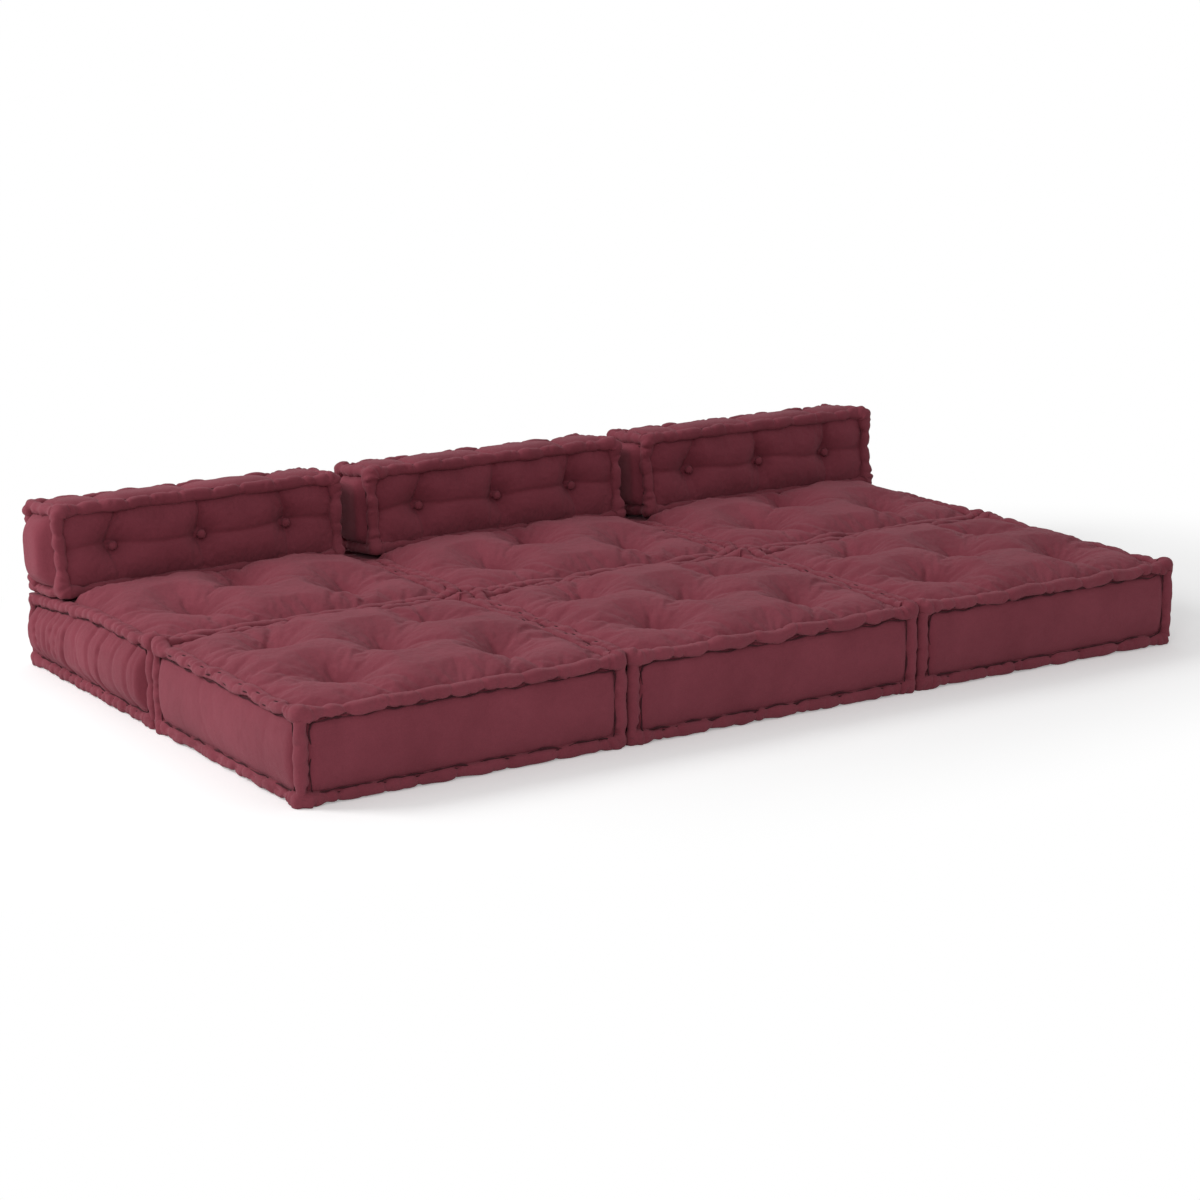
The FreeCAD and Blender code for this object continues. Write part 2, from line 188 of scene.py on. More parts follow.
class Cover:
    """A cushion's cover, before and after it is swollen."""

    def __init__(self, form):
        self.form = form
        cell = BACK_CELL if form.closed else SEAT_CELL
        nx = round(2 * form.inner_x / cell)
        ny = round(2 * form.inner_y / cell)
        nz = round((form.height - 2 * SEAM_DROP) / cell)
        ijk, self.quads = box_grid(nx, ny, nz, form.closed)
        i, j, k = ijk.T
        self.u = i / nx * 2 - 1
        self.v = j / ny * 2 - 1
        self.face = k == nz
        self.under = k == 0
        self.end_x = (i == 0) | (i == nx)
        self.end_y = (j == 0) | (j == ny)
        self.rim = self.end_x | self.end_y
        self.wall = self.rim & ~self.face & ~self.under
        self.level = k / nz
        self.start()
        self.pin(k, nz)

    def start(self):
        """Places the grid: a crowned face drawn in at the ties, and walls that bulge between the seams."""
        form = self.form
        x = self.u * form.inner_x
        y = self.v * form.inner_y
        self.x, self.y = x, y
        fullness = (1 - np.abs(self.u) ** 3) * (1 - np.abs(self.v) ** 3)
        rise = form.crown * fullness
        self.tuft_near = np.full(len(x), FAR)
        for tx, ty in form.tufts:
            away = np.hypot(x - tx, y - ty)
            self.tuft_near = np.minimum(self.tuft_near, away)
            rise -= form.tuft_depth * bump(away, form.tuft_reach)
        face_z = form.top(y) - ROLL_RADIUS + rise
        if form.sloped:
            self.pressed = smooth_step((y - FOOT_Y + PRESS_RUN) / PRESS_RUN)
            sunk = np.maximum(np.abs(self.v) ** 8, np.abs(self.u) ** 14)
            flat = form.top(y) - PRESS_SINK - PRESS_EDGE * sunk
            face_z = face_z * (1 - self.pressed) + flat * self.pressed
        low_z = form.height - face_z if form.closed else np.full(len(x), UNDER_Z)
        z = np.where(self.face, face_z, low_z)
        high = form.top(y) - SEAM_DROP
        wall_z = SEAM_DROP + (high - SEAM_DROP) * self.level
        z = np.where(self.wall, wall_z, z)
        push_x, push_y = self.wall_push()
        self.points = np.stack([x + np.sign(self.u) * push_x, y + np.sign(self.v) * push_y, z], 1)
        self.plain = self.points.copy()

    def wall_push(self):
        """How far the walls bulge out in X and Y, rounded off towards the corners."""
        form = self.form
        swell_out = np.where(self.end_x, form.swell_ends, form.swell_sides)
        out = SEAM_INSET - WALL_INSET + swell_out * (1 - np.abs(2 * self.level - 1) ** form.fullness)
        near_x = np.clip((1 - np.abs(self.u)) * form.inner_x / SIDE_ROUND, 0, 1)
        near_y = np.clip((1 - np.abs(self.v)) * form.inner_y / form.end_round, 0, 1)
        corner = self.end_x & self.end_y
        pushes = []
        for end, near in ((self.end_x, near_y), (self.end_y, near_x)):
            bulge = CORNER_PUSH + (out - CORNER_PUSH) * np.sqrt(1 - (1 - near) ** 2)
            pushes.append(np.where(corner, CORNER_PUSH, np.where(end, bulge, 0)) * self.wall)
        return pushes

    def pin(self, k, nz):
        """Holds the seams, the corners, the ties and what a backrest presses, and stirs the rest a little."""
        form = self.form
        to_end_x = (1 - np.abs(self.u)) * form.inner_x
        to_end_y = (1 - np.abs(self.v)) * form.inner_y
        corner_gap = np.where(self.end_x, to_end_y, to_end_x)
        held = self.rim & (self.face | self.under)
        held |= self.wall & ((k >= nz - 1) | (k <= 1) | (corner_gap < CORNER_HOLD))
        held |= ~self.wall & (self.tuft_near < TIE_HOLD)
        if form.sloped:
            held |= self.face & (self.pressed > 0.98)
        self.held = held
        free = ~held
        rng = np.random.default_rng(11)
        self.points[free] += rng.normal(0, JITTER, (int(free.sum()), 3))

    def cloth(self):
        """A scratch object that swells as cloth."""
        mesh = bpy.data.meshes.new("scratch_cloth")
        mesh.from_pydata(self.points.tolist(), [], self.quads)
        obj = bpy.data.objects.new("scratch_cloth", mesh)
        bpy.context.scene.collection.objects.link(obj)
        for name, members in (("held", self.held), ("taut", self.wall)):
            group = obj.vertex_groups.new(name=name)
            group.add([int(n) for n in np.nonzero(members)[0]], 1.0, "REPLACE")
        modifier = obj.modifiers.new("Cloth", "CLOTH")
        settings = modifier.settings
        settings.quality = 5
        settings.mass = 0.3
        settings.tension_stiffness = 15
        settings.compression_stiffness = 15
        settings.shear_stiffness = 5
        settings.bending_stiffness = self.form.bending
        settings.air_damping = 2
        settings.use_pressure = True
        settings.uniform_pressure_force = self.form.pressure
        settings.vertex_group_mass = "held"
        settings.vertex_group_shrink = "taut"
        settings.shrink_min = -self.form.slack
        settings.shrink_max = -self.form.wall_slack
        settings.effector_weights.gravity = 0
        modifier.collision_settings.use_collision = False
        modifier.point_cache.frame_start = 1
        modifier.point_cache.frame_end = SIM_FRAMES
        return obj

    def take(self, obj):
        """Takes the swollen shape, with no point further than the cap from its start and calmer walls."""
        shown = obj.evaluated_get(bpy.context.evaluated_depsgraph_get())
        swollen = np.empty(len(self.points) * 3)
        shown.data.vertices.foreach_get("co", swollen)
        step = swollen.reshape(-1, 3) - self.points
        length = np.linalg.norm(step, axis=1, keepdims=True)
        self.points = self.points + step * np.minimum(1, SIM_CAP / np.maximum(length, 1e-9))
        calm = self.wall
        self.points[calm] = self.plain[calm] + WALL_MOVE * (self.points[calm] - self.plain[calm])

    def at_tie(self, tx, ty, up):
        """The cover's point at a tie, on the face or, with up below 0, on the underside."""
        on = self.face if up > 0 else self.under
        close = np.where(on, np.hypot(self.x - tx, self.y - ty), FAR)
        return self.points[int(np.argmin(close))]

    def dress(self, seed):
        """The points with folds at the ties, creases, pleats and, before a backrest, a hill."""
        form = self.form
        points = self.points.copy()
        free = ~self.held
        press = np.zeros(len(points))
        self.fold_ties(press, seed)
        if form.creases:
            self.crease(press, seed)
            self.pinch(points)
        side = np.where(self.face, 1.0, np.where(self.under & form.closed, -1.0, 0.0))
        points[:, 2] -= side * press * free
        if form.sloped:
            self.raise_hill(points, free, seed)
        for pleat_side, pitch, depth in form.pleats:
            self.pleat(points, pleat_side, pitch, depth, seed)
        return points

    def fold_ties(self, press, seed):
        """A fan of folds round each tie and, on a seat, one long crease behind it."""
        form = self.form
        behind_x, behind_y = 0.22, 0.975
        crease_depth, crease_width = 0.0095, 0.0050
        crease_start, crease_end, crease_fade = 0.012, 0.085, 0.05
        for n, (tx, ty) in enumerate(form.tufts):
            away = np.hypot(self.x - tx, self.y - ty)
            turn = np.arctan2(self.y - ty, self.x - tx)
            fan = turn * form.fan / 2 + 0.9 * waves(turn, seed + n, 4, 0.8, 3.0) + away * 9
            ring = bump(away - form.fan_reach, form.fan_reach * 0.75) * (away > TIE_HOLD)
            press += form.fan_depth * valleys(fan, 2.6) * ring
            if not form.closed:
                ahead = (self.x - tx) * behind_x + (self.y - ty) * behind_y
                beside = (self.x - tx) * behind_y - (self.y - ty) * behind_x
                beside = beside + 0.004 * waves(self.y, seed + 30 + n, 2, 0.06, 0.12)
                fade = smooth_step(ahead / crease_start) * smooth_step((crease_end - ahead) / crease_fade)
                press += crease_depth * bump(beside, crease_width) * fade

    def crease(self, press, seed):
        """A backrest's upright crease through each button and the groove that joins the buttons."""
        for n, (tx, _) in enumerate(self.form.creases):
            wander = 0.005 * waves(self.y, seed + 40 + n, 2, 0.10, 0.25)
            curl = 0.016 * (n == 0) * np.clip(self.y / 0.06, 0, 1) ** 2
            line_x = self.x - tx - wander - curl
            upper = smooth_step((self.y + 0.004) / 0.012)
            press += 0.0086 * bump(line_x, 0.0046) * (0.55 + 0.45 * upper) + 0.0056 * bump(line_x, 0.026)
        across = self.y - 0.004 * waves(self.x, seed + 60, 3, 0.12, 0.4)
        press += 0.0052 * bump(across, 0.0046) + 0.0058 * bump(across, 0.022)

    def pinch(self, points):
        """Draws a backrest's top and bottom in beside each button."""
        wall = self.wall & self.end_y
        fall = np.clip(1.2 - np.abs(2 * self.level - 1) ** 4, 0, 1)
        for tx, _ in self.form.tufts:
            depth = 0.0090 * bump(self.x - tx, 0.0065) + 0.0058 * bump(self.x - tx, 0.026)
            points[wall, 1] -= (np.sign(self.v) * depth * fall)[wall]

    def raise_hill(self, points, free, seed):
        """Swells a seat's face in front of the backrest's foot and keeps it clear of the rolls there."""
        form = self.form
        height, ahead, behind, side_fade = 0.014, 0.055, 0.022, 0.014
        gap = FOOT_Y - behind - self.y
        hill = height * bump(gap / np.where(gap > 0, ahead, behind), 1.0)
        hill *= smooth_step((form.inner_x - np.abs(self.x)) / side_fade)
        hill *= 1 + 0.25 * waves(self.x, seed + 9, 3, 0.15, 0.5)
        points[self.face & free, 2] += hill[self.face & free]
        clear = 0.005 + 0.006 * smooth_step((np.abs(self.x) - 0.255) / 0.02)
        room = np.clip((FOOT_Y - clear - self.y) / 0.016, 0, 1)
        ceiling = form.top(points[:, 1]) - 0.0020 + 0.034 * np.sqrt(room)
        near = self.face & (self.y > FOOT_Y - PRESS_RUN)
        points[near, 2] = np.minimum(points[near, 2], ceiling[near])

    def pleat(self, points, pleat_side, pitch, depth, seed):
        """Presses upright pleats of uneven pitch, slant and depth into one wall."""
        form = self.form
        along_x = pleat_side in (FRONT, BACK)
        axis = 1 if along_x else 0
        place = self.x if along_x else self.y
        on = self.wall & (self.end_y if along_x else self.end_x)
        sign = -1.0 if pleat_side in (FRONT, LEFT) else 1.0
        on &= np.sign(self.v if along_x else self.u) == sign
        lift = self.level - 0.5
        slant = 0.50 * lift * waves(place, seed + 81, 3, 0.12, 0.40) + 0.45 * lift**2
        phase = place / pitch + 0.62 * waves(place, seed + 80, 4, 0.14, 0.45) + slant
        strength = 0.72 + 0.38 * np.sin(2.4 * np.round(phase) + seed)
        finer = place / (0.47 * pitch) + 0.5 * waves(place, seed + 82, 4, 0.06, 0.25) - 1.3 * slant
        finer_strength = 0.5 + 0.5 * np.sin(1.7 * np.round(finer) + 3 * lift)
        fold = 0.30 * valleys(np.pi * finer, 2) * finer_strength
        fall = np.clip(1.30 - np.abs(2 * lift) ** 6, 0, 1)
        reach = (1 - np.abs(self.u)) * form.inner_x if along_x else (1 - np.abs(self.v)) * form.inner_y
        corner_fade = np.clip(reach / 0.05, 0, 1)
        amount = depth * (valleys(np.pi * phase, 4.0) * strength + fold) * fall * corner_fade
        points[on, axis] -= sign * amount[on]


def within(points, form, limits):
    """Points eased back to stay behind a limit beyond each side: front, right, back, left."""
    half = (form.depth / 2, form.width / 2, form.depth / 2, form.width / 2)
    for side, limit in enumerate(limits):
        ease = MET_EASE if limit == MET else EASE
        axis = 0 if side in (RIGHT, LEFT) else 1
        sign = 1.0 if side in (RIGHT, BACK) else -1.0
        reach = points[:, axis] * sign
        start = half[side] + limit - ease
        over = reach > start
        points[over, axis] = sign * (start + ease * (1 - np.exp(-(reach[over] - start) / ease)))
    return points


def swell(covers):
    """Swells every cover side by side."""
    scene = bpy.context.scene
    objects = [cover.cloth() for cover in covers]
    for number in range(1, SIM_FRAMES + 1):
        scene.frame_set(number)
    for cover, obj in zip(covers, objects):
        cover.take(obj)
    for obj in objects:
        bpy.data.objects.remove(obj)
    scene.frame_set(1)


# Rolled edges: tubes round the face and up the corners, with necks, ears, puckers and stitched dents


class Path:
    """A rounded rectangle round a cushion, with the arc length and the distance to the nearest corner."""

    def __init__(self, form, inset, bend, step):
        hx = form.width / 2 - inset
        hy = form.depth / 2 - inset
        runs = [
            (Vector((-hx + bend, -hy)), Vector((hx - bend, -hy)), FRONT),
            (Vector((hx, -hy + bend)), Vector((hx, hy - bend)), RIGHT),
            (Vector((hx - bend, hy)), Vector((-hx + bend, hy)), BACK),
            (Vector((-hx, hy - bend)), Vector((-hx, -hy + bend)), LEFT),
        ]
        outs = [Vector((0, -1)), Vector((1, 0)), Vector((0, 1)), Vector((-1, 0))]
        place, out, side, corner = [], [], [], []
        for n, (start, end, name) in enumerate(runs):
            length = (end - start).length
            count = round(length / step)
            for c in range(count):
                share = c / count
                place.append(start.lerp(end, share))
                out.append(outs[n])
                side.append(name)
                corner.append(min(share, 1 - share) * length + bend * 0.8)
            following = outs[(n + 1) % 4]
            centre = end - outs[n] * bend
            for c in range(BEND_RINGS):
                angle = math.pi / 2 * c / BEND_RINGS
                direction = outs[n] * math.cos(angle) + following * math.sin(angle)
                place.append(centre + direction * bend)
                out.append(direction)
                side.append(name)
                corner.append(abs(angle - math.pi / 4) * bend)
        self.place = np.array(place)
        self.out = np.array(out)
        self.side = np.array(side)
        self.corner = np.array(corner)
        steps = np.linalg.norm(np.roll(self.place, -1, 0) - self.place, axis=1)
        self.along = np.concatenate([[0], np.cumsum(steps)[:-1]])
        self.total = steps.sum()

    def gap(self, where):
        """Signed distance along the path from where."""
        away = self.along - where
        return (away + self.total / 2) % self.total - self.total / 2


def turn_gap(angle):
    return (TURN - angle + np.pi) % (2 * np.pi) - np.pi


def smooth_mesh(name, points, faces):
    mesh = bpy.data.meshes.new(name)
    mesh.from_pydata(points.tolist(), [], faces)
    mesh.polygons.foreach_set("use_smooth", [True] * len(mesh.polygons))
    mesh.update()
    return mesh


class Maker:
    """Collects tubes and stitches of one piece as a mesh."""

    def __init__(self):
        self.points = []
        self.faces = []
        self.count = 0

    def add(self, points, faces):
        self.points.append(points)
        self.faces += [tuple(n + self.count for n in face) for face in faces]
        self.count += len(points)

    def tube(self, rings, closed):
        """A skin over rings of points, closed into a loop or capped at both ends."""
        count, around, _ = rings.shape
        faces = []
        for a in range(count if closed else count - 1):
            b = (a + 1) % count
            for c in range(around):
                d = (c + 1) % around
                faces.append((a * around + c, a * around + d, b * around + d, b * around + c))
        if not closed:
            faces.append(tuple(range(around))[::-1])
            faces.append(tuple((count - 1) * around + c for c in range(around)))
        self.add(rings.reshape(-1, 3), faces)

    def stitch(self, centre, along, out, length, radius):
        """A short thread that dives into the cloth at both ends."""
        across = np.cross(along, out)
        turn = np.linspace(0, 2 * np.pi, 6, endpoint=False)[:, None]
        rings = []
        for share in np.linspace(-1, 1, 7):
            middle = centre + along * share * length / 2 - out * 0.22 * length * share**4
            thick = radius * (0.75 + 0.25 * (1 - share**2))
            rings.append(middle + thick * (np.cos(turn) * out + np.sin(turn) * across))
        self.tube(np.array(rings), False)

    def mesh(self, name):
        return smooth_mesh(name, np.concatenate(self.points), self.faces)


def section(wide, tall, power=2.6):
    """A squarish round outline: outward and upward parts at each turn."""
    round_off = (np.abs(np.cos(TURN)) ** power + np.abs(np.sin(TURN)) ** power) ** (-1 / power)
    return np.cos(TURN) * wide * round_off, np.sin(TURN) * tall * round_off


class FaceRoll:
    """The roll round one face: its size along the path and round each ring, and what is sewn into it.

    An angle round the roll is 0 outward and a right angle upward. The lower roll's sewing is turned over.
    """

    def __init__(self, form, upper, seed):
        self.form, self.upper, self.seed = form, upper, seed
        self.rng = np.random.default_rng(seed)
        self.upward = 1.0 if upper else -1.0
        self.path = Path(form, ROLL_WIDE, ROLL_BEND, RING_STEP)
        self.size = np.ones((len(self.path.along), AROUND))
        self.ear = bump(self.path.corner, EAR_REACH)
        self.sewn = []

    def dent(self, where, angle, depth, length, width, tilt=0.0):
        """Presses a dent into the roll at a place along it and an angle round it."""
        spin = turn_gap(angle)
        gap = self.path.gap(where)[:, None] - tilt * spin[None, :]
        self.size -= depth * np.exp(-((gap / length) ** 2) - ((spin / width) ** 2)[None, :])

    def crumple(self):
        """Random dents and a slow swell, and at each corner a wrinkled ear between two necks."""
        rng, path = self.rng, self.path
        for step in np.arange(0, path.total, DENT_PITCH):
            where = step + rng.uniform(-0.008, 0.008)
            angle, depth = rng.uniform(-np.pi, np.pi), rng.uniform(0.06, 0.22)
            length, width = rng.uniform(0.0032, 0.0060), rng.uniform(0.4, 0.9)
            self.dent(where, angle, depth, length, width, tilt=rng.uniform(-0.008, 0.008))
        self.size += (0.060 * waves(path.along, self.seed + 1, 6, 0.035, 0.20))[:, None]
        neck = bump(path.corner - NECK_PLACE, NECK_REACH)
        self.size += (self.form.ear * self.ear - NECK_DEPTH * neck)[:, None]
        for middle in path.along[path.corner == path.corner.min()]:
            for step in EAR_WRINKLES:
                where = middle + step + rng.uniform(-0.003, 0.003)
                angle, depth = rng.uniform(-0.5, 1.2) * self.upward, rng.uniform(0.26, 0.46)
                self.dent(where, angle, depth, 0.0034, 1.1, tilt=rng.uniform(-0.006, 0.006))

    def sew(self):
        """Sews each side in its own style, from one corner to the next."""
        styles = {"rope": self.rope, "dash": self.dash, "puckered": self.pucker, "pillow": self.pillow}
        for side in range(4):
            own = self.path.along[(self.path.side == side) & (self.path.corner > SEWN_FROM)]
            where = own.min() + self.rng.uniform(0.005, 0.03)
            flip = False
            while where < own.max():
                where += styles[self.form.sewing[side]](where, flip)
                flip = not flip

    def rope(self, where, flip):
        """A slanting twist with a short stitch, on either edge in turn."""
        self.dent(where, 0.6 * self.upward, 0.27, 0.0048, 1.5, 0.0042)
        angle = math.radians(100 if flip else -45) * self.upward
        self.dent(where + 0.006, angle, 0.22, 0.0070, 0.6)
        self.sewn.append((where + 0.006, angle, 0.009, 0.0014))
        return self.rng.uniform(0.022, 0.031)

    def dash(self, where, flip):
        """A long sunk stitch on either edge in turn, which shows on the upper roll only; its thick dark
        thread is partly painted shade for the dent.
        """
        angle = math.radians(74 if flip else -20) * self.upward
        self.dent(where, angle, 0.26, 0.0120, 0.40)
        self.dent(where + 0.004, angle, 0.20, 0.018, 1.0, 0.006)
        self.dent(where - 0.011, 0.6 * self.upward, 0.16, 0.0042, 1.2, 0.005)
        if self.upper:
            # The thick dark thread is partly painted shade that stands in for the dent's shadow
            self.sewn.append((where, angle, 0.022, 0.0019))
        if self.rng.random() < 0.55:
            self.dent(where + 0.022, 0.9 * self.upward, 0.20, 0.0045, 1.3, 0.004)
        return self.rng.uniform(0.028, 0.052)

    def pucker(self, where, _):
        return self.gather(where, 0.24, (0.055, 0.115))

    def pillow(self, where, _):
        return self.gather(where, 0.34, (0.055, 0.080))

    def gather(self, where, depth, pitch):
        """A pucker that is held by a stitch on the lower edge, with a fold now and then beside it."""
        rng = self.rng
        self.dent(where, 0.5 * self.upward, depth, 0.0046, 1.7, 0.004 * rng.uniform(-1, 1))
        self.dent(where, 0.5 * self.upward, depth * 0.5, 0.020, 1.9)
        angle = math.radians(-62) * self.upward
        self.dent(where, angle, 0.30, 0.0090, 0.60)
        self.sewn.append((where, angle, 0.011, 0.0013))
        if rng.random() < 0.6:
            aside = where + rng.uniform(0.018, 0.04)
            self.dent(aside, -0.5 * self.upward, 0.20, 0.0048, 1.0, 0.006 * rng.uniform(-1, 1))
        return rng.uniform(*pitch)

    def rings(self, limits):
        """The roll's rings, kept behind the limits, off the floor and below a backrest on them."""
        form, path, calm = self.form, self.path, 1 - self.ear
        size = np.clip(self.size, LEAST_SIZE, MOST_SIZE)
        out_part, up_part = section(ROLL_WIDE, ROLL_TALL)
        sway = 0.0017 * waves(path.along, self.seed + 2, 5, 0.07, 0.30) * calm
        if self.upper:
            middle_z = form.top(path.place[:, 1]) - ROLL_TALL + sway + form.ear_lift * self.ear
        else:
            middle_z = ROLL_TALL + 0.4 * np.abs(sway)
        shift = 0.0008 * waves(path.along, self.seed + 3, 4, 0.06, 0.2) * calm
        outward = out_part[None, :] * size + shift[:, None]
        rings = np.empty((len(path.along), AROUND, 3))
        rings[:, :, 0] = path.place[:, 0:1] + path.out[:, 0:1] * outward
        rings[:, :, 1] = path.place[:, 1:2] + path.out[:, 1:2] * outward
        rings[:, :, 2] = middle_z[:, None] + up_part[None, :] * size
        flat = within(rings.reshape(-1, 3), form, limits)
        if not form.closed:
            flat[:, 2] = np.maximum(flat[:, 2], FLOOR_GAP)
        if form.sloped and self.upper:
            under = flat[:, 1] > FOOT_Y - FOOT_RUN
            flat[under, 2] = np.minimum(flat[under, 2], form.top(flat[under, 1]) - FOOT_GAP)
        return flat.reshape(rings.shape)

    def add_stitches(self, rings, threads):
        """Lays each stitch along the roll, at its place and angle."""
        for where, angle, length, radius in self.sewn:
            ring = int(np.argmin(np.abs(self.path.gap(where))))
            spin = int(np.argmin(np.abs(turn_gap(angle))))
            point = rings[ring, spin]
            ahead = rings[(ring + 1) % len(rings), spin] - rings[ring - 1, spin]
            ahead /= np.linalg.norm(ahead)
            out = point - rings[ring].mean(0)
            out -= ahead * np.dot(out, ahead)
            out /= np.linalg.norm(out)
            threads.stitch(point + out * 0.0002, ahead, out, length, radius)


def face_roll(rolls, threads, form, upper, seed, limits):
    """The roll round one face, with ears at its corners and the sewing that each side shows."""
    roll = FaceRoll(form, upper, seed)
    roll.crumple()
    roll.sew()
    rings = roll.rings(limits)
    rolls.tube(rings, True)
    roll.add_stitches(rings, threads)


def corner_rolls(rolls, form, seed, limits):
    """The four upright rolls, with a neck at both ends, sewn dents on both sides and random wrinkles."""
    rng = np.random.default_rng(seed)
    radius = UPRIGHT_RADIUS
    for number, (sx, sy) in enumerate([(-1, -1), (1, -1), (1, 1), (-1, 1)]):
        x = sx * (form.width / 2 - UPRIGHT_INSET)
        y = sy * (form.depth / 2 - UPRIGHT_INSET)
        low, high = UPRIGHT_END, float(form.top(y)) - UPRIGHT_END
        levels = np.linspace(low, high, round((high - low) / UPRIGHT_STEP))
        neck = bump(levels - low - UPRIGHT_NECK, UPRIGHT_NECK_REACH)
        neck = neck + bump(high - UPRIGHT_NECK - levels, UPRIGHT_NECK_REACH)
        size = np.ones((len(levels), AROUND)) * (1.06 - 0.24 * neck)[:, None]
        size += (0.035 * waves(levels, seed + number, 4, 0.03, 0.09))[:, None]
        facing = math.atan2(sy, sx)
        for hand in (-1, 1):
            spin = turn_gap(facing + hand * math.radians(100))
            where = low + rng.uniform(0.012, 0.022)
            while where < high - 0.010:
                gap = levels - where
                size -= 0.26 * np.exp(-((gap / 0.008) ** 2)[:, None] - ((spin / 0.6) ** 2)[None, :])
                where += rng.uniform(0.020, 0.030)
        for _ in range(UPRIGHT_WRINKLES):
            spin = turn_gap(rng.uniform(-np.pi, np.pi))
            gap = (levels - rng.uniform(low, high))[:, None] - rng.uniform(-0.008, 0.008) * spin[None, :]
            size -= rng.uniform(0.04, 0.16) * np.exp(-((gap / 0.005) ** 2) - ((spin / 0.8) ** 2)[None, :])
        sway = 0.0008 * waves(levels, seed + 20 + number, 3, 0.04, 0.1)
        rings = np.empty((len(levels), AROUND, 3))
        rings[:, :, 0] = x + (sway[:, None] + np.cos(TURN)[None, :] * size * radius)
        rings[:, :, 1] = y + (sway[:, None] + np.sin(TURN)[None, :] * size * radius)
        rings[:, :, 2] = levels[:, None]
        flat = within(rings.reshape(-1, 3), form, limits)
        rolls.tube(flat.reshape(rings.shape), False)


def seam_threads_and_painted_crevice_shade(threads, form, seed):
    """The sewn lines round each side cloth, sunk in the crevice beside the rolls: also painted crevice shade.
    """
    step, bend, hair = 0.006, 0.007, 1e-6
    side_inset, sunk, upright_places = 0.0305, 0.0085, 22
    half_x, half_y = form.width / 2, form.depth / 2
    sides = [
        ((1.0, 0, 0), (0, -1.0, 0), half_x, half_y),
        ((0, 1.0, 0), (1.0, 0, 0), half_y, half_x),
        ((-1.0, 0, 0), (0, 1.0, 0), half_x, half_y),
        ((0, -1.0, 0), (-1.0, 0, 0), half_y, half_x),
    ]
    turn = np.linspace(0, 2 * np.pi, 6, endpoint=False)
    for number, (across, out, half, reach) in enumerate(sides):
        across, out = np.array(across), np.array(out)
        span = half - side_inset
        count = round(2 * span / step)
        places = [(share * span, 0.0) for share in np.linspace(-1, 1, count)]
        places += [(span, share) for share in np.linspace(0, 1, upright_places)[1:-1]]
        places += [(share * span, 1.0) for share in np.linspace(1, -1, count)]
        places += [(-span, share) for share in np.linspace(1, 0, upright_places)[1:-1]]
        beside, rise = np.array(places).T.copy()
        low = SEAM_DROP - CLEARANCE
        high = form.top(across[1] * beside + out[1] * reach) - SEAM_DROP + CLEARANCE
        level = low + (high - low) * rise
        to_side = np.clip((span - np.abs(beside)) / bend, 0, 1)
        to_edge = np.clip(np.minimum(level - low, high - level) / bend, 0, 1)
        level += np.where(rise > 0.5, -1, 1) * bend * (1 - to_side) ** 2 * 0.3
        beside -= np.sign(beside) * bend * (1 - to_edge) ** 2 * 0.3 * (to_side < hair)
        travel = np.arange(len(places)) * step
        wave = 0.0016 * waves(travel, seed + number, 5, 0.03, 0.12)
        upright = np.abs(beside) > span - hair
        level_run = np.abs(beside) < span - hair
        middle = across[None, :] * (beside + np.where(upright, wave, 0))[:, None]
        middle = middle + out[None, :] * (reach - sunk)
        middle[:, 2] += level + np.where(level_run, wave, 0)
        ahead = np.roll(middle, -1, 0) - np.roll(middle, 1, 0)
        ahead /= np.linalg.norm(ahead, axis=1, keepdims=True)
        sideways = np.cross(ahead, out[None, :])
        thick = 0.0013 + 0.0004 * waves(travel, seed + 7 + number, 4, 0.02, 0.07)
        thick = np.clip(thick, 0.0007, 0.0020)[:, None, None]
        ring = np.cos(turn)[None, :, None] * out[None, None, :]
        ring = ring + np.sin(turn)[None, :, None] * sideways[:, None, :]
        threads.tube(middle[:, None, :] + thick * ring, True)


# Materials


def node(tree, kind, **settings):
    made = tree.nodes.new(kind)
    for name, value in settings.items():
        setattr(made, name, value)
    return made


def join(tree, made, *terms):
    """Fills a node's inputs in order, from other nodes' outputs or with plain values."""
    for socket, term in zip(made.inputs, terms):
        if isinstance(term, bpy.types.NodeSocket):
            tree.links.new(term, socket)
        else:
            socket.default_value = term
    return made.outputs[0]


def maths(tree, operation, *terms):
    return join(tree, node(tree, "ShaderNodeMath", operation=operation), *terms)


def mix_shaders(tree, factor, first, second):
    return join(tree, node(tree, "ShaderNodeMixShader"), factor, first, second)


def noise(tree, place, scale, detail, roughness):
    made = node(tree, "ShaderNodeTexNoise")
    made.inputs["Scale"].default_value = scale
    made.inputs["Detail"].default_value = detail
    made.inputs["Roughness"].default_value = roughness
    tree.links.new(place, made.inputs["Vector"])
    return made.outputs["Fac"]


def bump_node(tree, height, strength, distance):
    made = node(tree, "ShaderNodeBump")
    made.inputs["Strength"].default_value = strength
    made.inputs["Distance"].default_value = distance
    tree.links.new(height, made.inputs["Height"])
    return made


def weave_lattice(tree, place, pitch):
    """Products of sines along the axes, which cross as plain-woven threads do."""
    split = node(tree, "ShaderNodeSeparateXYZ")
    tree.links.new(place, split.inputs[0])
    sines = [maths(tree, "SINE", maths(tree, "MULTIPLY", out, 2 * math.pi / pitch)) for out in split.outputs]
    crossings = [maths(tree, "MULTIPLY", sines[axis], sines[(axis + 1) % 3]) for axis in range(3)]
    return maths(tree, "ADD", maths(tree, "ADD", crossings[0], crossings[1]), crossings[2])


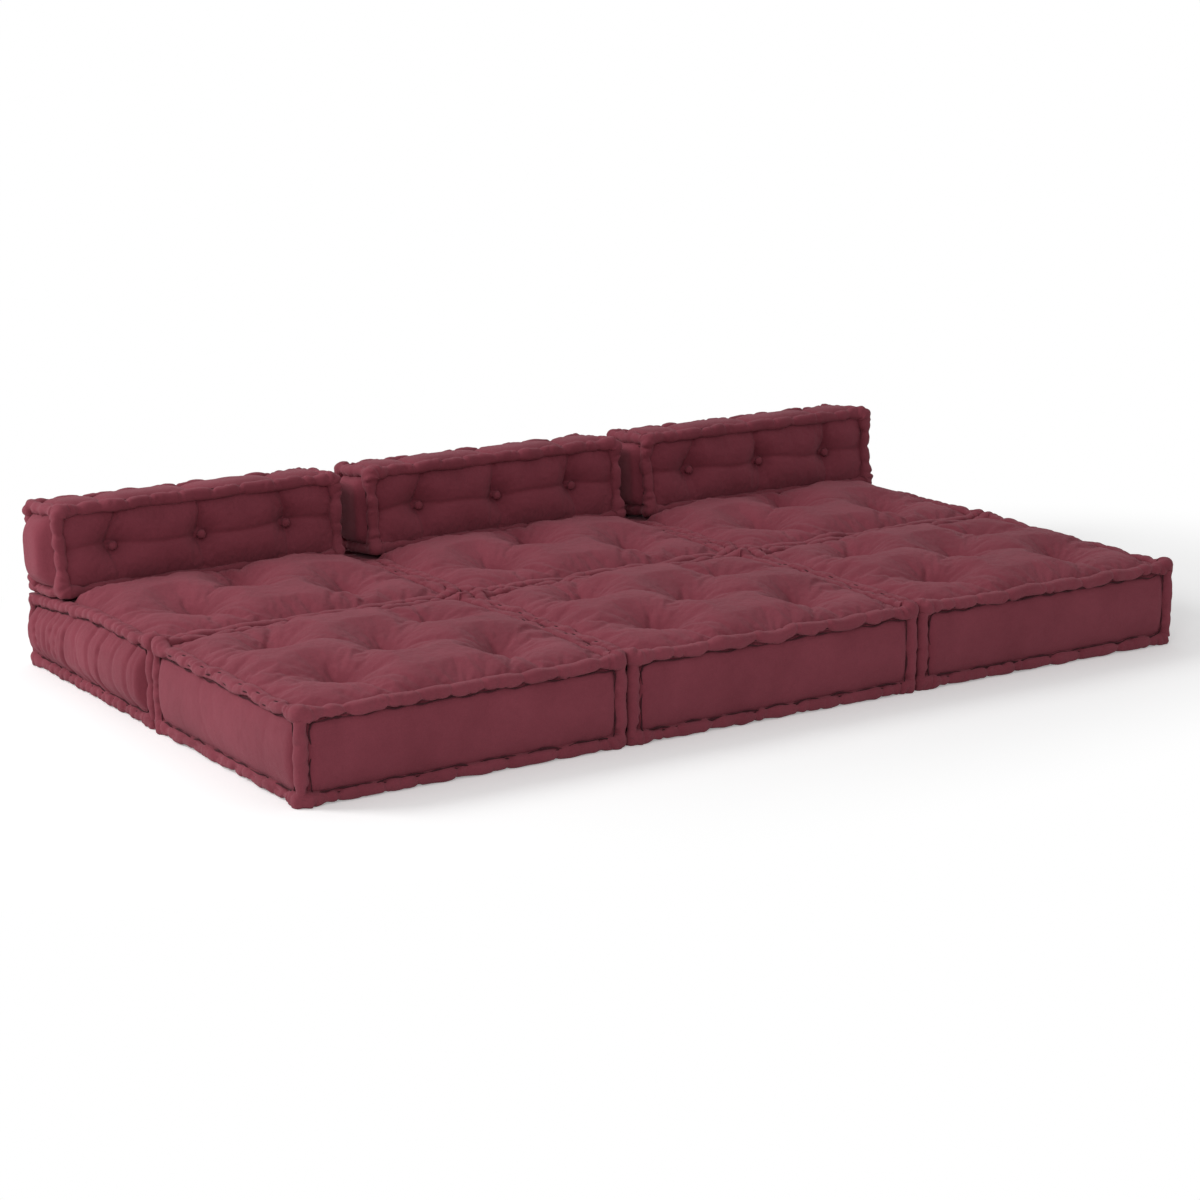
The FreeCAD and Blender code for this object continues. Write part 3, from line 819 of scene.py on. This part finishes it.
def fabric(name, colour, pale, sheen, weave=1.0):
    """Matte plain-woven cotton: mottled dye, a fine weave and slubs, and a soft sheen."""
    material = bpy.data.materials.new(name)
    material.use_nodes = True
    tree = material.node_tree
    shader = tree.nodes["Principled BSDF"]
    link = tree.links.new
    place = node(tree, "ShaderNodeTexCoord").outputs["Object"]
    wash = noise(tree, place, 7.0, 5.0, 0.6)
    fibre = noise(tree, place, 420.0, 3.0, 0.5)
    slub = noise(tree, place, 55.0, 6.0, 0.62)
    ramp = node(tree, "ShaderNodeValToRGB")
    dark_end, pale_end = ramp.color_ramp.elements
    dark_end.position, dark_end.color = 0.42, (*colour, 1)
    pale_end.position, pale_end.color = 1.0, (*pale, 1)
    link(maths(tree, "MULTIPLY_ADD", fibre, 0.45, wash), ramp.inputs["Fac"])
    link(ramp.outputs["Color"], shader.inputs["Base Color"])
    soft = bump_node(tree, slub, 0.45, 0.0035)
    fine = bump_node(tree, weave_lattice(tree, place, 0.0016), 0.35 * weave, 0.0003)
    link(soft.outputs["Normal"], fine.inputs["Normal"])
    link(fine.outputs["Normal"], shader.inputs["Normal"])
    rough = node(tree, "ShaderNodeMapRange")
    rough.inputs["To Min"].default_value = 0.84
    rough.inputs["To Max"].default_value = 0.97
    link(fibre, rough.inputs["Value"])
    link(rough.outputs["Result"], shader.inputs["Roughness"])
    shader.inputs["Specular IOR Level"].default_value = 0.22
    shader.inputs["Sheen Weight"].default_value = sheen
    shader.inputs["Sheen Roughness"].default_value = 0.55
    shader.inputs["Sheen Tint"].default_value = (0.95, 0.62, 0.68, 1)
    return material


WINE, PALE_WINE = (0.172, 0.030, 0.045), (0.252, 0.050, 0.072)
COVER = fabric("wine_cotton", WINE, PALE_WINE, 0.09)
EDGE = fabric("wine_cotton_roll", (0.174, 0.031, 0.046), (0.256, 0.052, 0.074), 0.10)
BASE = fabric("wine_base_cloth", (0.120, 0.022, 0.034), (0.176, 0.038, 0.054), 0.05)
BUTTON = fabric("wine_button", WINE, PALE_WINE, 0.09, 1.4)
# Dark wine thread, made darker than thread so that the seams and stitches also serve as painted shade in
# crevices and dents
THREAD_AND_PAINTED_SHADE = fabric("wine_thread_and_painted_shade", (0.036, 0.007, 0.011), (0.064, 0.013, 0.019), 0.02, 0.6)


# Cushions


def piece(name, mesh, material, place, body, nodes):
    mesh.materials.clear()
    mesh.materials.append(material)
    obj = bpy.data.objects.new(name, mesh)
    bpy.context.scene.collection.objects.link(obj)
    obj.matrix_world = place
    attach(obj, body)
    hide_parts(*[f"{body}_{n}" for n in nodes])
    return obj


def subdivide(obj):
    modifier = obj.modifiers.new("Subdivision", "SUBSURF")
    modifier.levels = 1
    modifier.render_levels = 1


def base_mesh(form, name):
    """The underside cloth, flat on the floor, drawn up into a hollow at each tie."""
    nx, ny = 66, 56
    overlap, level = 0.004, 0.0012
    hem_rise, hem_run = 0.008, 0.012
    hollow_depth, hollow_reach = 0.0165, 0.036
    half_x, half_y = form.inner_x + overlap, form.inner_y + overlap
    x = np.linspace(-half_x, half_x, nx + 1)
    y = np.linspace(-half_y, half_y, ny + 1)
    gx, gy = np.meshgrid(x, y, indexing="ij")
    gz = np.full_like(gx, level)
    edge = np.minimum(half_x - np.abs(gx), half_y - np.abs(gy))
    gz += hem_rise * np.clip(1 - edge / hem_run, 0, 1) ** 2
    for tx, ty in form.tufts:
        away = np.hypot(gx - tx, gy - ty)
        gz += hollow_depth * np.clip(1 - away / hollow_reach, 0, 1) ** 1.15
    faces = []
    for i in range(nx):
        for j in range(ny):
            a = i * (ny + 1) + j
            faces.append((a, a + 1, a + ny + 2, a + ny + 1))
    return smooth_mesh(name, np.stack([gx, gy, gz], -1).reshape(-1, 3), faces)


def cross_stitches(threads, point, up, angles, length, radius):
    """Level stitches that cross at one point."""
    out = np.array([0.0, 0.0, float(up)])
    for angle in angles:
        along = np.array([math.cos(angle), math.sin(angle), 0.0])
        threads.stitch(point, along, out, length, radius)


def tuft_threads(threads, form, cover):
    """Two crossed stitches in the bottom of each tuft, on both faces of a backrest."""
    for tx, ty in form.tufts:
        for up in (1, -1) if form.closed else (1,):
            point = cover.at_tie(tx, ty, up) + np.array([0, 0, 0.0012 * up])
            cross_stitches(threads, point, up, (0.5, 2.2), 0.015, 0.0011)


def knots(threads, form):
    """The ties' lower ends, in the hollows of the underside."""
    for tx, ty in form.tufts:
        cross_stitches(threads, np.array([tx, ty, 0.0125]), -1, (0.3, 1.35, 2.4), 0.009, 0.0016)


# Radius and height of a covered button, from the middle of its dome to the neck below it
BUTTON_PROFILE = [(0.0, 0.0108), (0.0028, 0.0106), (0.0055, 0.0098), (0.0078, 0.0082), (0.0093, 0.0060),
                  (0.0097, 0.0040), (0.0090, 0.0020), (0.0070, 0.0004), (0.0040, -0.0012), (0.0016, -0.0020)]


def button_mesh(form, cover, name):
    """Covered buttons: a low dome with its cloth gathered under the rim."""
    maker = Maker()
    around, gathers = 36, 18
    turn = np.linspace(0, 2 * np.pi, around, endpoint=False)
    rings = len(BUTTON_PROFILE) - 1
    faces = [(0, 1 + c, 1 + (c + 1) % around) for c in range(around)]
    for step in range(rings - 1):
        base = 1 + step * around
        for c in range(around):
            d = (c + 1) % around
            faces.append((base + c, base + around + c, base + around + d, base + d))
    last = 1 + (rings - 1) * around
    faces.append(tuple(last + c for c in range(around))[::-1])
    for tx, ty in form.tufts:
        for up in (1, -1):
            level = cover.at_tie(tx, ty, up)[2]
            points = [np.array([[tx, ty, level + up * BUTTON_PROFILE[0][1]]])]
            for step, (radius, height) in enumerate(BUTTON_PROFILE[1:], 1):
                gather = 0.00028 * max(0, step - 2) * np.cos(gathers * turn)
                ring_x = tx + (radius + gather) * np.cos(turn)
                ring_y = ty + (radius + gather) * np.sin(turn) * up
                points.append(np.stack([ring_x, ring_y, np.full(around, level + up * height)], 1))
            maker.add(np.concatenate(points), faces)
    return maker.mesh(name)


def cushion(form, cover, body, place, limits, seed):
    """All pieces of one cushion."""
    points = within(cover.dress(seed), form, limits)
    cover_mesh = smooth_mesh(f"{body}_cover", points, cover.quads)
    faces = ("front_panel", "rear_panel") if form.closed else ("top_panel",)
    cover_nodes = faces + ("side_panels", "filling")
    shell = piece(f"{body}_cover", cover_mesh, COVER, place, body, cover_nodes)
    subdivide(shell)
    rolls, threads = Maker(), Maker()
    face_roll(rolls, threads, form, True, seed + 1, limits)
    face_roll(rolls, threads, form, False, seed + 2, limits)
    corner_rolls(rolls, form, seed + 3, limits)
    # Dark seam threads in the crevices beside the rolls, partly painted shade for the crevices' shadow
    seam_threads_and_painted_crevice_shade(threads, form, seed + 4)
    roll_mesh = rolls.mesh(f"{body}_rolls")
    piece(f"{body}_rolls", roll_mesh, EDGE, place, body, ("rolled_edges",))
    tuft_threads(threads, form, cover)
    if form.closed:
        buttons = button_mesh(form, cover, f"{body}_buttons")
        piece(f"{body}_buttons", buttons, BUTTON, place, body, ("buttons",))
    else:
        knots(threads, form)
        base = base_mesh(form, f"{body}_base")
        piece(f"{body}_base", base, BASE, place, body, ("bottom_panel",))
    # The dark threads: stitches, knots and seam lines, which are partly painted shade in the crevices and
    # dents
    thread_mesh = threads.mesh(f"{body}_stitches")
    piece(f"{body}_stitches", thread_mesh, THREAD_AND_PAINTED_SHADE, place, body, ("tuft_ties",))


def end_pleats(pitch, depth):
    return (LEFT, pitch, depth), (RIGHT, pitch, depth)


SEAT_SHAPE = dict(
    crown=0.016, tuft_depth=0.035, tuft_reach=0.031, pressure=4.0, slack=0.055, bending=0.3,
    fan=18, fan_depth=0.0048, fan_reach=0.046, creases=[], ear=0.44, ear_lift=0.0035,
    fullness=2.6, end_round=0.024, swell_sides=0.010,
)
front = Form(
    (WIDTH, DEPTH, HEIGHT), SEAT_TUFTS, **SEAT_SHAPE, swell_ends=0.0145, wall_slack=0.004,
    pleats=end_pleats(0.085, 0.0014), sewing=("puckered", "dash", "puckered", "dash"),
)
rear = Form(
    (WIDTH, DEPTH, HEIGHT), SEAT_TUFTS, sloped=True, **SEAT_SHAPE, swell_ends=0.031, wall_slack=0.010,
    pleats=end_pleats(0.045, 0.0140), sewing=("puckered", "rope", "puckered", "rope"),
)
back = Form(
    (BACK_WIDTH, BACK_HEIGHT, BACK_THICK), BACK_TUFTS, closed=True,
    crown=0.012, tuft_depth=0.017, tuft_reach=0.028, pressure=4.0, slack=0.018, bending=0.4,
    fan=12, fan_depth=0.0014, fan_reach=0.024, creases=BACK_TUFTS, ear=0.38, ear_lift=0.0028,
    fullness=4.0, end_round=0.060, swell_sides=0.016, swell_ends=0.042, wall_slack=0.006,
    pleats=end_pleats(0.060, 0.0012), sewing=("pillow", "puckered", "pillow", "puckered"),
)

covers = [Cover(form) for form in (front, rear, back)]
swell(covers)
front_cover, rear_cover, back_cover = covers

heel_z = float(rear.top(HEEL_Y)) + CLEARANCE - SETTLE
lie_up = Matrix.Rotation(math.pi / 2 - LEAN, 4, "X")
for number, column in enumerate(COLUMNS):
    x = (number - 1) * (WIDTH + GAP)
    left, right = number == 0, number == 2
    cushion(front, front_cover, f"front_{column}_seat", Matrix.Translation((x, -ROW, 0)),
            (FREE, FREE if right else MET, MET, FREE if left else MET), 100 + 10 * number)
    cushion(rear, rear_cover, f"rear_{column}_seat", Matrix.Translation((x, ROW, 0)),
            (MET, WIDE if right else MET, FREE, WIDE if left else MET), 200 + 10 * number)
    heel = Vector((x + (number - 1) * SPREAD, ROW + HEEL_Y, heel_z))
    stand = heel - lie_up @ Vector((0, -BACK_HEIGHT / 2, 0))
    cushion(back, back_cover, f"{column}_backrest", Matrix.Translation(stand) @ lie_up,
            (0.0, FULL if right else NEAR, FREE, FULL if left else NEAR), 300 + 10 * number)


# Stage, lights and camera


def seen_rays(tree):
    """1 for the rays that show the background: camera, glossy and transmission rays."""
    rays = node(tree, "ShaderNodeLightPath").outputs
    seen = maths(tree, "MAXIMUM", rays["Is Camera Ray"], rays["Is Glossy Ray"])
    return maths(tree, "MAXIMUM", seen, rays["Is Transmission Ray"])


def glow(tree, strength):
    made = node(tree, "ShaderNodeEmission")
    made.inputs["Strength"].default_value = strength
    return made.outputs[0]


def floor_paint():
    """Pale matte paint that shows a little paler than it is lit and turns white away from the sofa."""
    sofa_half_x, sofa_half_y = 1.05, 0.60
    white_from, white_at = 1.35, 2.1
    paint = bpy.data.materials.new("floor_paint")
    paint.use_nodes = True
    tree = paint.node_tree
    shader = tree.nodes["Principled BSDF"]
    shader.inputs["Base Color"].default_value = (0.90, 0.90, 0.90, 1)
    shader.inputs["Roughness"].default_value = 0.9
    shader.inputs["Specular IOR Level"].default_value = 0.0
    seen = seen_rays(tree)
    spot = node(tree, "ShaderNodeTexCoord").outputs["Object"]
    scaled = node(tree, "ShaderNodeVectorMath", operation="MULTIPLY")
    scaled.inputs[1].default_value = (1 / sofa_half_x, 1 / sofa_half_y, 0)
    tree.links.new(spot, scaled.inputs[0])
    away = node(tree, "ShaderNodeVectorMath", operation="LENGTH")
    tree.links.new(scaled.outputs["Vector"], away.inputs[0])
    reach = node(tree, "ShaderNodeMapRange", interpolation_type="SMOOTHSTEP")
    reach.inputs["From Min"].default_value = white_from
    reach.inputs["From Max"].default_value = white_at
    tree.links.new(away.outputs["Value"], reach.inputs["Value"])
    lit = shader.outputs[0]
    paler = join(tree, node(tree, "ShaderNodeAddShader"), lit, glow(tree, 0.27))
    near = mix_shaders(tree, seen, lit, paler)
    shown = mix_shaders(tree, maths(tree, "MULTIPLY", reach.outputs["Result"], seen), near, glow(tree, 1.0))
    tree.links.new(shown, tree.nodes["Material Output"].inputs["Surface"])
    return paint


def lamp(name, place, aim, size, energy):
    light = bpy.data.lights.new(name, "AREA")
    light.shape = "DISK"
    light.size = size
    light.energy = energy
    obj = bpy.data.objects.new(name, light)
    bpy.context.scene.collection.objects.link(obj)
    obj.location = place
    obj.rotation_euler = (Vector(aim) - Vector(place)).to_track_quat("-Z", "Y").to_euler()


FLOOR_HALF = 40
floor_mesh = bpy.data.meshes.new("floor")
floor_corners = [(sx * FLOOR_HALF, sy * FLOOR_HALF, 0) for sx, sy in ((-1, -1), (1, -1), (1, 1), (-1, 1))]
floor_mesh.from_pydata(floor_corners, [], [(0, 1, 2, 3)])
floor = bpy.data.objects.new("floor", floor_mesh)
bpy.context.scene.collection.objects.link(floor)
floor.data.materials.append(floor_paint())

world = bpy.data.worlds.new("studio")
bpy.context.scene.world = world
world.use_nodes = True
tree = world.node_tree
sky = tree.nodes["Background"]
plain = node(tree, "ShaderNodeBackground")
for background, strength in ((sky, 0.46), (plain, 1.0)):
    background.inputs["Color"].default_value = (1, 1, 1, 1)
    background.inputs["Strength"].default_value = strength
shown = mix_shaders(tree, seen_rays(tree), sky.outputs[0], plain.outputs[0])
tree.links.new(shown, tree.nodes["World Output"].inputs["Surface"])

lamp("key", (-4.0, 1.7, 3.0), (0, 0, 0.1), 1.8, 116)
lamp("top", (0.3, 0.8, 4.6), (0, 0, 0), 3.5, 8)
lamp("fill", (-3.6, -3.8, 2.4), (0, 0, 0.15), 1.6, 45)

camera = bpy.data.cameras.new("camera")
camera.lens = 86.6
camera.sensor_width = 36.0
viewer = bpy.data.objects.new("camera", camera)
bpy.context.scene.collection.objects.link(viewer)
viewer.location = (-3.2714, -4.9011, 1.5573)
viewer.rotation_euler = (math.radians(90 - 13.742), 0, math.radians(-33.557))
bpy.context.scene.camera = viewer
bpy.context.scene.view_settings.view_transform = "Standard"
